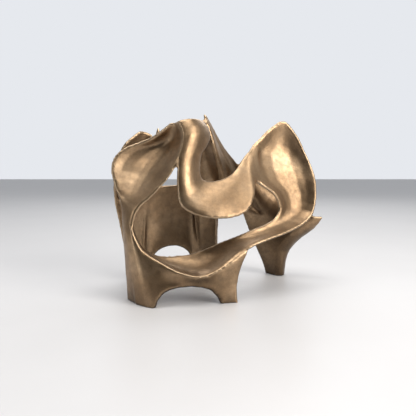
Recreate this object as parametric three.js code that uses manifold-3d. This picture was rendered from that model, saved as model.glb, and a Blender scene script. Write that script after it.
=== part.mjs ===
// Abstract cast metal sculpture: one thin-walled form of leaves, ribbons and arched walls on its own feet.
// Millimetres, +Z up. The front faces -Y and the longest side runs along X.
import * as THREE from "three";
import { mergeVertices } from "three/addons/utils/BufferGeometryUtils.js";
import Module from "manifold-3d";

const wall = 7; // thickness of a skin at its middle
const rim = 4.2; // thickness of a skin at its free edges
const footWall = 10; // thickness where a skin stands on the floor
const tread = -4; // skins run this far below the floor, then are trimmed flat
const facet = 14; // aimed length of a facet along a skin
const wide = 6; // facets from one edge of a wide skin to the other
const narrow = 4; // and of a narrow one
const beadSides = 5; // facets round a bead

// Points where several skins meet.
const apex = [-40, -25, 240];
const waist = [-99, -62, 102];
const arch = [-5, 10, 239];
const backTip = [-6, 42, 257];

// Folds: edges that two skins share.
const leafFold = [apex, [-32, -34, 221], [-39, -44, 189]];
const lip = [[-84, -68, 70], [-59, -74, 55], [-37, -78, 44], [-8, -78, 38], [18, -70, 48]];
const wallCorner = [[-97, -63, 88], [-84, -71, 44], [-71, -79, tread]];
const spineFold = [[-2, 36, 245], [7, 32, 214], [21, 52, 163]];
const backFold = [backTip, [14, 52, 212], [36, 62, 169]];
const shoulderFold = [[48, 76, 182], [73, 80, 132], [105, 80, 93], [160, 58, 99]];
const legFold = [[133, 65, 72], [116, 77, 43], [115, 80, 21], [118, 83, tread]];

// Each skin is stretched between two edges, first and second, that have the same number of points.
// bow says how far its middle stands off the straight line between them, from start to end.

// Left leaf: hollow towards the front, narrowing into the neck above the front left leg.
const leftLeaf = {
  first: [
    [-52, -20, 237],
    [-80, -8, 219],
    [-121, -14, 202],
    [-133, -22, 182],
    [-127, -32, 153],
    [-116, -38, 128],
    [-112, -40, 92],
    [-109, -40, 44],
    [-106, -40, tread],
  ],
  second: [...leafFold, [-50, -50, 166], [-72, -56, 141], [-92, -60, 120], ...wallCorner],
  bow: [[0, 4, 0], [4, 24, -4], [0, 20, 0], [-1, 2, 0], [-1, -3, 0], [-1, -3, 0]],
  atEnd: footWall,
};

// Front wall: the left leg, the arch between the feet and the middle foot, under the lip of the trough.
const frontWall = {
  first: [[-104, -54, 108], waist, ...lip, [35, -63, 58], [53, -53, 69]],
  second: [[-92, -62, tread], [-80, -72, tread], ...archEdge([-70, -79], [20, -59], 25, [-1, -4]), [40, -56, tread]],
  bow: [[0, -2, 0], [0, -2, 0], [0, 3, 0], [0, 1, 0], [-7, 0, -2]],
  atSecond: footWall,
};

// Trough and big leaf: a scoop behind the front lip, rising to the right and opening into a tall dish.
const troughAndLeaf = {
  first: [
    [-101, -59, 104],
    [-97, -64, 86],
    ...lip,
    [42, -60, 64],
    [64, -44, 74],
    [102, -20, 83],
    [136, 2, 94],
    [156, 16, 110],
    [162, 25, 138],
    [161, 30, 162],
    [155, 33, 181],
    [146, 35, 200],
    [136, 36, 221],
    [121, 36, 241],
  ],
  second: [
    [-99, -54, 105],
    [-93, -56, 88],
    [-86, -54, 74],
    [-68, -46, 61],
    [-47, -40, 59],
    [-26, -38, 61],
    [-6, -36, 67],
    [13, -34, 75],
    [36, -29, 83],
    [64, -20, 93],
    [92, -4, 103],
    [102, 4, 119],
    [92, 1, 141],
    [68, -8, 157],
    [58, 7, 201],
    [73, 17, 218],
    [89, 26, 234],
    [105, 33, 245],
  ],
  bow: [[0, 0, 0], [0, 4, -7], [0, 4, -7], [0, 4, -3], [1, 8, 0], [0, 15, 0], [2, 16, 0], [1, 1, 3]],
};

// The ribbon runs on into the leaf: its last points lie on the leaf's own middle surface.
const leafPoint = ([s, v]) => surfaceOf(troughAndLeaf)(s, v).toArray();
const ribbonLow = [[13 / 17, 1], [13.1 / 17, 0.86]].map(leafPoint);
const ribbonHigh = [[14 / 17, 1], [14.6 / 17, 0.9]].map(leafPoint);

// Central ribbon: down from the arch, round the pouch and up into the side of the big leaf.
const centralRibbon = {
  first: [
    ...leafFold,
    [-41, -48, 170],
    [-40, -54, 141],
    [-36, -58, 128],
    [-24, -62, 119],
    [0, -64, 112],
    [27, -58, 111],
    [50, -46, 117],
    [62, -32, 132],
    ...ribbonLow,
  ],
  second: [
    arch,
    [3, 4, 226],
    [1, -6, 212],
    [-9, -16, 196],
    [-11, -22, 178],
    [-9, -26, 163],
    [0, -26, 159],
    [17, -22, 161],
    [33, -14, 169],
    [42, -6, 180],
    [50, 1, 192],
    ...ribbonHigh,
  ],
  bow: [[4, -10, 4], [0, -7, 0], [0, -8, -2], [0, -5, -4], [-1, 1, -1], [-5, -3, 0]],
};

// Back ribbon: from the pointed tip down behind the big leaf, flaring out above the rear right foot.
const backRibbon = {
  first: [...backFold, [50, 72, 122], [60, 82, 92], [68, 90, 72], [80, 98, 45], [92, 102, 20], [101, 107, tread]],
  second: [[-2, 50, 253], [23, 66, 212], ...shoulderFold.filter((_, i) => i !== 1), ...legFold],
  bow: [[0, 0, 0], [0, 6, 0], [0, 12, 0], [4, -1, 0], [2, -1, 0]],
  atEnd: footWall,
};

// Shoulder: the face folded back from the ribbon's upper edge behind the big leaf, down to the flare.
const shoulder = {
  across: narrow,
  first: shoulderFold,
  second: [[56, 82, 186], [88, 96, 156], [122, 92, 128], [166, 62, 102]],
  bow: [[0, 1, 1], [2, -2, 2], [1, -1, 1]],
};

// Leg side: the face folded back from the front of the rear right leg, with the flare at its top.
const legSide = {
  across: narrow,
  first: [[164, 57, 101], [146, 61, 84], ...legFold],
  second: [[182, 60, 100], [171, 75, 81], [153, 86, 65], [135, 94, 44], [127, 96, 24], [124, 96, tread]],
  bow: [[0, 0, 0], [3, -2, 0], [3, -2, 0], [0, 0, 0]],
  atEnd: footWall,
};

// Rear wall: an arched wall on two feet, low in the middle and rising to the right.
const rearWall = {
  first: [
    [-136, 46, 128],
    [-112, 66, 140],
    [-90, 80, 148],
    [-66, 88, 149],
    [-48, 88, 151],
    [-30, 86, 160],
    [-8, 78, 182],
    [12, 62, 190],
  ],
  second: [[-120, 56, tread], ...archEdge([-102, 74], [-17, 93], 48, [0, 12]), [16, 88, tread]],
  bow: [[-3, 3, 0], [0, 6, 0], [0, 6, 0], [0, 2, 0]],
  atSecond: footWall,
};

// Spine: the right side of the rear wall, carried up to the tip.
const spine = {
  first: [
    [-12, 38, 249],
    [-14, 50, 222],
    [-22, 66, 190],
    [-26, 80, 150],
    [-24, 88, 100],
    [-12, 93, tread],
  ],
  second: [...spineFold, [20, 74, 128], [17, 87, 90], [16, 88, tread]],
  bow: [[0, 4, 0], [0, 12, 0], [0, 6, 0], [0, 2, 0]],
  atEnd: footWall,
};

// Rear left leaf: the rounded hump that stands up behind the left leaf.
const rearLeaf = {
  first: [
    [-106, 58, 233],
    [-129, 43, 209],
    [-142, 42, 165],
    [-143, 44, 128],
    [-135, 48, 85],
    [-120, 56, tread],
  ],
  second: [
    [-86, 70, 227],
    [-84, 74, 204],
    [-90, 78, 172],
    [-96, 78, 138],
    [-99, 78, 90],
    [-104, 74, tread],
  ],
  bow: [[-1, 3, 3], [-8, 10, 0], [-6, 8, 0], [-2, 2, 0]],
  atEnd: footWall,
};

// Fin: the small point that stands up at the right end of the hump.
const fin = {
  across: narrow,
  first: [[-91, 75, 190], [-87, 77, 218], [-81, 78, 239]],
  second: [[-72, 78, 190], [-74, 78, 218], [-77, 78, 240]],
  bow: [[0, 1, 0], [0, 1, 0], [0, 0, 1]],
};

// Band: the narrow face between the spine's right edge and the ridge of the back ribbon.
const band = {
  across: narrow,
  first: [...spineFold, [25, 64, 138]],
  second: [...backFold, [44, 68, 146]],
  bow: [[0, 2, 0], [0, 4, 0], [0, 2, 0]],
};

// Roof: the top of the arch, bending back to the spine.
const roof = {
  across: narrow,
  first: [[-40, -25, 238], [-38, 0, 241], [-30, 26, 239], [-18, 46, 230]],
  second: [[-5, 9, 238], [-4, 20, 241], [-3, 32, 241], [-4, 44, 234]],
  bow: [[0, 0, 2], [0, 0, 3], [0, 0, 2]],
};

// Folds and lips that stand out as a line, each rounded over by a bead.
const ridges = [leafFold, [[-98, -62, 94], ...lip, [35, -63, 58], [52, -53, 69]], backFold, shoulderFold, legFold];

// The upper edge of an opening between two feet: half an ellipse, which may lean out in plan by bulge.
function archEdge([x0, y0], [x1, y1], height, [bulgeX, bulgeY]) {
  const stations = [0, 0.13, 0.3, 0.6, 0.85, 1];
  return stations.map((t) => {
    const rise = Math.sqrt(Math.max(0, 1 - (2 * t - 1) ** 2));
    return [x0 + (x1 - x0) * t + bulgeX * rise, y0 + (y1 - y0) * t + bulgeY * rise, tread + (height - tread) * rise];
  });
}

function vector(point) {
  return new THREE.Vector3(...point);
}

// A smooth curve through a few points, asked for by a fraction from 0 at the first to 1 at the last.
function through(points) {
  return new THREE.CatmullRomCurve3(points.map(vector), false, "centripetal");
}

// The middle surface of a skin at s along it and v across it.
function surfaceOf({ first, second, bow }) {
  const near = through(first);
  const far = through(second);
  const crown = through(bow);
  return (s, v) => {
    const point = near.getPoint(s).lerp(far.getPoint(s), v);
    return point.addScaledVector(crown.getPoint(s), 4 * v * (1 - v));
  };
}

// Taken a little inside the edges, where a section may run along the edge itself.
function normalAt(surface, s, v) {
  const step = 0.01;
  const a = THREE.MathUtils.clamp(s, 0.02, 0.98);
  const b = THREE.MathUtils.clamp(v, 0.1, 0.9);
  const along = surface(a + step, b).sub(surface(a - step, b));
  const over = surface(a, b + step).sub(surface(a, b - step));
  return along.cross(over).normalize();
}

// Thickness: full in the middle, thin at free edges and ends, thicker where a skin reaches the floor.
function thicknessAt({ atSecond = rim, atEnd = rim }, s, v) {
  const inside = Math.sin(Math.PI * v) ** 0.7 * Math.min(1, Math.sin(Math.PI * s) * 4);
  const base = rim + (wall - rim) * inside;
  const towardsSecond = Math.max(0, atSecond - base) * THREE.MathUtils.smoothstep(v, 0.4, 1);
  const towardsEnd = Math.max(0, atEnd - base) * THREE.MathUtils.smoothstep(s, 0.6, 1);
  return base + Math.max(towardsSecond, towardsEnd);
}

// One closed ring of points round a skin's section at s, with a rounded nose at each edge.
function sectionAt(skin, surface, s) {
  const across = skin.across ?? wide;
  const width = surface(s, 0).distanceTo(surface(s, 0.5)) + surface(s, 0.5).distanceTo(surface(s, 1));
  const inset = Math.min(0.25, (0.5 * rim) / width);
  const ring = [];
  const pushSide = (sign, i) => {
    const v = inset + ((1 - 2 * inset) * i) / across;
    const half = (sign * thicknessAt(skin, s, v)) / 2;
    ring.push(surface(s, v).addScaledVector(normalAt(surface, s, v), half));
  };
  for (let i = 0; i <= across; i++) pushSide(1, i);
  ring.push(surface(s, 1));
  for (let i = across; i >= 0; i--) pushSide(-1, i);
  ring.push(surface(s, 0));
  return ring;
}

// A skin as a closed solid: sections joined along it and capped at both ends.
function skinGeometry(skin) {
  const surface = surfaceOf(skin);
  const length = Math.max(through(skin.first).getLength(), through(skin.second).getLength());
  const steps = Math.ceil(length / facet);
  const rings = [];
  for (let i = 0; i <= steps; i++) rings.push(sectionAt(skin, surface, i / steps));
  const size = rings[0].length;
  const index = [];
  for (let i = 0; i < steps; i++)
    for (let j = 0; j < size; j++) {
      const a = i * size + j;
      const b = i * size + ((j + 1) % size);
      index.push(a, b, b + size, a, b + size, a + size);
    }
  capEnds(index, skin.across ?? wide, steps * size);
  const geometry = new THREE.BufferGeometry().setFromPoints(rings.flat());
  geometry.setIndex(index);
  return geometry;
}

// Strips across the first and the last ring, from its front side to its back side.
function capEnds(index, across, lastRing) {
  const noseFar = across + 1;
  const noseNear = 2 * across + 3;
  const opposite = (j) => 2 * across + 2 - j;
  const quad = (a, b, c, d) => {
    index.push(a, c, b, a, d, c);
    index.push(lastRing + a, lastRing + b, lastRing + c, lastRing + a, lastRing + c, lastRing + d);
  };
  for (let j = 0; j < across; j++) quad(j, j + 1, opposite(j + 1), opposite(j));
  index.push(noseNear, opposite(0), 0, noseFar, across, opposite(across));
  index.push(lastRing + noseNear, lastRing, lastRing + opposite(0));
  index.push(lastRing + noseFar, lastRing + opposite(across), lastRing + across);
}

// A round bead along a ridge, closed at both ends.
function beadGeometry(points) {
  const curve = through(points);
  const steps = Math.ceil(curve.getLength() / facet);
  const tube = new THREE.TubeGeometry(curve, steps, rim / 2, beadSides, false);
  const place = tube.getAttribute("position");
  const rows = beadSides + 1; // a tube repeats the first point of each ring
  const corners = Array.from({ length: place.count }, (_, i) => new THREE.Vector3().fromBufferAttribute(place, i));
  const index = [...tube.index.array];
  const last = steps * rows;
  for (let i = 1; i < beadSides - 1; i++) {
    index.push(0, i, i + 1);
    index.push(last, last + i + 1, last + i);
  }
  return new THREE.BufferGeometry().setFromPoints(corners).setIndex(index);
}

const wasm = await Module();
wasm.setup();

function solidOf(geometry) {
  const merged = mergeVertices(geometry, 1e-4);
  const triVerts = new Uint32Array(merged.index.array);
  const vertProperties = merged.attributes.position.array;
  const made = new wasm.Manifold(new wasm.Mesh({ numProp: 3, vertProperties, triVerts }));
  if (made.volume() > 0) return made;
  const turned = triVerts.slice().reverse();
  return new wasm.Manifold(new wasm.Mesh({ numProp: 3, vertProperties, triVerts: turned }));
}

// The outer body alone, which fills the small sealed pockets left where skins and beads meet.
function filled(solid) {
  const bodies = solid.decompose();
  return bodies.reduce((outer, body) => (body.volume() > outer.volume() ? body : outer));
}

// All the skins and beads joined into one casting, trimmed flat at the floor and centred over the origin.
function casting(skins, ridges) {
  const pieces = [...skins.map(skinGeometry), ...ridges.map(beadGeometry)];
  const joined = wasm.Manifold.union(pieces.map(solidOf));
  const standing = filled(joined.trimByPlane([0, 0, 1], 0).simplify(0.1));
  const { min, max } = standing.boundingBox();
  const centred = standing.translate([-(min[0] + max[0]) / 2, -(min[1] + max[1]) / 2, -min[2]]);
  const { vertProperties, triVerts } = centred.getMesh();
  const geometry = new THREE.BufferGeometry();
  geometry.setAttribute("position", new THREE.Float32BufferAttribute(vertProperties, 3));
  geometry.setIndex([...triVerts]);
  geometry.computeVertexNormals();
  return geometry;
}

const bronze = new THREE.MeshStandardMaterial({ color: 0x8a6f4e, roughness: 0.42, metalness: 1 });
const frontSkins = [leftLeaf, frontWall, troughAndLeaf, centralRibbon];
const rearSkins = [rearWall, rearLeaf, fin, spine, band, backRibbon, shoulder, legSide];
const skins = [...frontSkins, ...rearSkins, roof];
const sculpture = new THREE.Mesh(casting(skins, ridges), bronze);
sculpture.name = "sculpture";

const group = new THREE.Group();
group.name = "abstract_metal_sculpture";
group.add(sculpture);

export default group;
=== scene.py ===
"""Abstract bronze sculpture: the casting's finish, a pale studio and the camera.

Metres, +Z up, front towards -Y.
"""

import math

import bpy
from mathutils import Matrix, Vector


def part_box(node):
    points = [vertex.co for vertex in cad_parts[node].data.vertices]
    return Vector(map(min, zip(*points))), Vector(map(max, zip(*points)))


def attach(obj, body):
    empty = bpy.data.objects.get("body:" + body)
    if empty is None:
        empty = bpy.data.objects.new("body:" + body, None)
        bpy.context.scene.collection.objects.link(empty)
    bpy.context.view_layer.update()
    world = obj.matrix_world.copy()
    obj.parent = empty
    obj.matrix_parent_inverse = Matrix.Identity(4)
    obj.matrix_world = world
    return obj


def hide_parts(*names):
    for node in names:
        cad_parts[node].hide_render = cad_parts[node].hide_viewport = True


NODE = "sculpture"
VOXEL = 0.0019  # cell of the smooth casting, well under the thickness of a rim
SMOOTHING = 5  # passes that turn the solid's facets into one poured surface

# Camera: level with the upper part of the object, near enough to show strong perspective.
FOCAL_PX = 430
IMAGE_PX = 416
SENSOR_MM = 36
PITCH = 0.0936  # radians, looking down
CAMERA_AT = Vector((-0.0184, -0.6247, 0.1773))

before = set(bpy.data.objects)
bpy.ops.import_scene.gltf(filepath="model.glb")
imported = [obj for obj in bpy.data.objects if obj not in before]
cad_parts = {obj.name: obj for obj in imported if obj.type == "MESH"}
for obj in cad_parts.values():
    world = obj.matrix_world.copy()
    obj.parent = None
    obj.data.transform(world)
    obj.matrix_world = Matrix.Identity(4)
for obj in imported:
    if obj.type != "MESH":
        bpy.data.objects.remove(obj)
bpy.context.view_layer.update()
low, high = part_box(NODE)
size = high - low


def active(obj):
    bpy.ops.object.select_all(action="DESELECT")
    obj.select_set(True)
    bpy.context.view_layer.objects.active = obj


def apply_modifier(obj, name, kind, **settings):
    modifier = obj.modifiers.new(name, kind)
    for key, value in settings.items():
        setattr(modifier, key, value)
    active(obj)
    bpy.ops.object.modifier_apply(modifier=modifier.name)


def poured_casting():
    """The CAD form as one smooth surface, with softened rims and joins, still flat under its feet."""
    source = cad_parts[NODE]
    casting = bpy.data.objects.new("casting", source.data.copy())
    bpy.context.scene.collection.objects.link(casting)
    apply_modifier(casting, "even", "REMESH", mode="VOXEL", voxel_size=VOXEL, adaptivity=0.0)
    apply_modifier(casting, "soften", "SMOOTH", factor=0.5, iterations=SMOOTHING)
    stand_flat(casting.data)
    for polygon in casting.data.polygons:
        polygon.use_smooth = True
    return casting


def stand_flat(mesh):
    """Smoothing lifts the soles a little, so the lowest metal goes back down to the floor."""
    sole = 1.2 * VOXEL  # how far smoothing may lift a sole
    reach = 3 * sole  # only the metal below this is stretched down
    stretch = 1.5  # brings the stretched metal back to its own height at reach
    for vertex in mesh.vertices:
        z = vertex.co.z
        if z < reach:
            vertex.co.z = max(low.z, max(0.0, z - sole) * stretch)


class Nodes:
    """Short calls for building a material's nodes."""

    def __init__(self, material):
        material.use_nodes = True
        self.tree = material.node_tree
        self.tree.nodes.clear()

    def add(self, kind, inputs=None, **settings):
        node = self.tree.nodes.new(kind)
        for key, value in settings.items():
            setattr(node, key, value)
        for key, value in (inputs or {}).items():
            self.feed(node.inputs[key], value)
        return node

    def feed(self, socket, value):
        if isinstance(value, bpy.types.NodeSocket):
            self.tree.links.new(value, socket)
        else:
            socket.default_value = value

    def ramp(self, factor, stops):
        node = self.add("ShaderNodeValToRGB", {"Fac": factor})
        elements = node.color_ramp.elements
        while len(elements) < len(stops):
            elements.new(0.5)
        for element, (position, colour) in zip(elements, stops):
            element.position = position
            element.color = (*colour, 1)
        return node.outputs["Color"]

    def noise(self, vector, scale, detail=4.0, rough=0.55):
        inputs = {"Vector": vector, "Scale": scale, "Detail": detail, "Roughness": rough}
        return self.add("ShaderNodeTexNoise", inputs).outputs["Fac"]

    def remap(self, value, low_in, high_in, low_out, high_out):
        inputs = {"Value": value, "From Min": low_in, "From Max": high_in}
        inputs.update({"To Min": low_out, "To Max": high_out})
        return self.add("ShaderNodeMapRange", inputs).outputs["Result"]

    def mix(self, factor, a, b, blend="MIX"):
        node = self.add("ShaderNodeMix", data_type="RGBA", blend_type=blend)
        self.feed(node.inputs[0], factor)
        self.feed(node.inputs[6], a)
        self.feed(node.inputs[7], b)
        return node.outputs[2]

    def maths(self, operation, a, b=0.0):
        node = self.add("ShaderNodeMath", operation=operation)
        self.feed(node.inputs[0], a)
        self.feed(node.inputs[1], b)
        return node.outputs[0]


def bronze():
    """Satin antique bronze: tan metal with a painted highlight on its rims, painted shade in its creases and
    deep interior, fine sandy grain.
    """
    material = bpy.data.materials.new("antique_bronze")
    n = Nodes(material)
    place = n.add("ShaderNodeTexCoord").outputs["Object"]
    bend = n.add("ShaderNodeNewGeometry").outputs["Pointiness"]
    cloud = n.noise(place, 14, 5, 0.6)
    mottle = n.noise(place, 95, 6, 0.65)
    grain = n.noise(place, 900, 3, 0.7)

    deep, plain_tan, pale = (0.23, 0.145, 0.08), (0.38, 0.25, 0.142), (0.52, 0.365, 0.225)
    tan = n.ramp(cloud, [(0.3, deep), (0.5, plain_tan), (0.7, pale)])
    tan = n.mix(n.remap(mottle, 0.35, 0.7, 0.0, 0.45), tan, (0.13, 0.098, 0.07, 1))
    # Painted highlight: sharp convex rims turn pale cream in place of light catching the edges; the same rim
    # mask also makes the rims a little glossier further down.
    painted_rim_highlight = n.remap(bend, 0.52, 0.62, 0.0, 0.85)
    with_painted_highlight = n.mix(painted_rim_highlight, tan, (0.90, 0.72, 0.5, 1))
    # Painted shade: concave creases go near black in place of the shade and dark reflections that gather in
    # them.
    painted_crease_shade = n.remap(bend, 0.5, 0.43, 0.0, 0.75)
    colour = n.mix(painted_crease_shade, with_painted_highlight, (0.045, 0.036, 0.028, 1))
    # Painted shade: where the ambient-occlusion node finds metal close around, deep inside the form, the
    # colour goes near black.
    painted_shade_occlusion = n.add("ShaderNodeAmbientOcclusion", {"Distance": 0.16}, samples=8).outputs["AO"]
    colour = n.mix(n.remap(painted_shade_occlusion, 0.62, 0.3, 0.0, 0.93), colour, (0.03, 0.023, 0.019, 1))
    speckle = n.remap(grain, 0.3, 0.75, 0.72, 1.18)
    channels = {"Red": speckle, "Green": speckle, "Blue": speckle}
    grey = n.add("ShaderNodeCombineColor", channels).outputs["Color"]
    colour = n.mix(0.55, colour, n.mix(1.0, colour, grey, "MULTIPLY"))

    rough = n.remap(mottle, 0.3, 0.7, 0.3, 0.46)
    rough = n.maths("SUBTRACT", rough, n.maths("MULTIPLY", painted_rim_highlight, 0.1))
    relief = n.maths("ADD", n.maths("MULTIPLY", grain, 0.5), n.maths("MULTIPLY", mottle, 0.5))
    bump = n.add("ShaderNodeBump", {"Strength": 0.16, "Distance": 0.0006, "Height": relief}).outputs["Normal"]
    finish = {"Base Color": colour, "Roughness": rough, "Normal": bump, "Metallic": 1.0}
    metal = n.add("ShaderNodeBsdfPrincipled", finish)
    n.add("ShaderNodeOutputMaterial", {"Surface": metal.outputs["BSDF"]})
    return material


def plain(name, colour, roughness):
    material = bpy.data.materials.new(name)
    n = Nodes(material)
    place = n.add("ShaderNodeTexCoord").outputs["Object"]
    cloud = n.remap(n.noise(place, 6, 4), 0.3, 0.7, 0.0, 1.0)
    tint = n.mix(cloud, (*(c * 0.97 for c in colour), 1), (*colour, 1))
    surface = n.add("ShaderNodeBsdfPrincipled", {"Base Color": tint, "Roughness": roughness})
    n.add("ShaderNodeOutputMaterial", {"Surface": surface.outputs["BSDF"]})
    return material


def floor():
    bpy.ops.mesh.primitive_plane_add(size=12, location=(0, 0, 0))
    obj = bpy.context.object
    obj.name = "floor"
    obj.data.materials.append(plain("pale_floor", (0.66, 0.65, 0.65), 0.4))


def area_light(name, place, aim, width, height, power, colour=(1, 1, 1)):
    data = bpy.data.lights.new(name, "AREA")
    data.shape = "RECTANGLE"
    data.size = width
    data.size_y = height
    data.energy = power
    data.color = colour
    obj = bpy.data.objects.new(name, data)
    obj.location = place
    obj.rotation_euler = (Vector(aim) - Vector(place)).to_track_quat("-Z", "Y").to_euler()
    bpy.context.scene.collection.objects.link(obj)


def studio():
    """Soft windows above and to the right, a pale wall behind, and a dim room on the camera's side."""
    middle = (0, 0, size.z / 2)
    area_light("right_window", (1.0, -0.75, 0.75), middle, 0.7, 1.1, 17, (1, 0.97, 0.93))
    area_light("ceiling", (-0.1, -0.25, 1.5), middle, 1.3, 0.9, 15, (1, 0.985, 0.96))
    area_light("left_strip", (-1.0, -0.55, 0.45), middle, 0.16, 1.0, 2.5, (0.95, 0.97, 1))
    area_light("back", (0.2, 1.4, 1.3), middle, 1.6, 0.8, 9)
    world = bpy.data.worlds.new("pale_room")
    world.use_nodes = True
    tree = world.node_tree
    direction = tree.nodes.new("ShaderNodeTexCoord").outputs["Generated"]
    split = tree.nodes.new("ShaderNodeSeparateXYZ")
    tree.links.new(direction, split.inputs[0])
    depth = tree.nodes.new("ShaderNodeMapRange")
    for key, value in {"From Min": -0.15, "From Max": 0.6, "To Min": 0.03, "To Max": 0.9}.items():
        depth.inputs[key].default_value = value
    tree.links.new(split.outputs["Y"], depth.inputs["Value"])
    background = tree.nodes["Background"]
    background.inputs["Color"].default_value = (0.88, 0.905, 0.95, 1)
    tree.links.new(depth.outputs["Result"], background.inputs["Strength"])
    bpy.context.scene.world = world
    bpy.context.scene.view_settings.view_transform = "Standard"


def camera():
    data = bpy.data.cameras.new("camera")
    data.sensor_width = SENSOR_MM
    data.lens = FOCAL_PX * SENSOR_MM / IMAGE_PX
    data.clip_start = 0.01
    obj = bpy.data.objects.new("camera", data)
    obj.location = CAMERA_AT
    obj.rotation_euler = (math.pi / 2 - PITCH, 0, 0)
    bpy.context.scene.collection.objects.link(obj)
    bpy.context.scene.camera = obj


casting = poured_casting()
casting.data.materials.clear()
casting.data.materials.append(bronze())
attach(casting, "root")
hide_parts(NODE)

floor()
studio()
camera()
